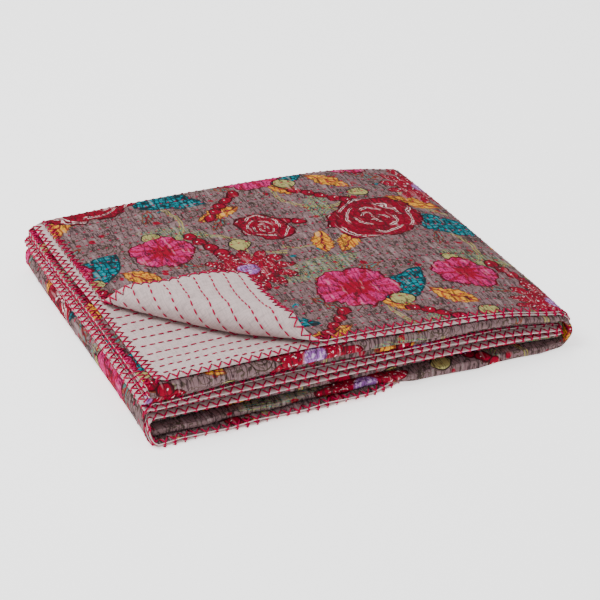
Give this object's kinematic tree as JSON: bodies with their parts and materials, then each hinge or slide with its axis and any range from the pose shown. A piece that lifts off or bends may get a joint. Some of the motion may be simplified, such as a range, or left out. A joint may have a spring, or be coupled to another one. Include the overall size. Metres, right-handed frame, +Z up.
{
  "type": "kantha quilt, folded",
  "caption": "Kantha quilt with a printed face and a plain back, folded in quarters both ways, its near left corner turned back.",
  "frame": {"origin": "centre of the bounding box, on the surface that the folded quilt rests on", "axes": "+X runs along the front edge to the right, +Y from the front edge to the back, +Z up"},
  "size_m": [0.3904, 0.3282, 0.0753],
  "materials": {
    "printed_cotton": "matte",
    "plain_cotton": "matte",
    "crimson_thread": "satin"
  },
  "bodies": {
    "root": {"quilt": "printed_cotton"}
  },
  "joints": []
}
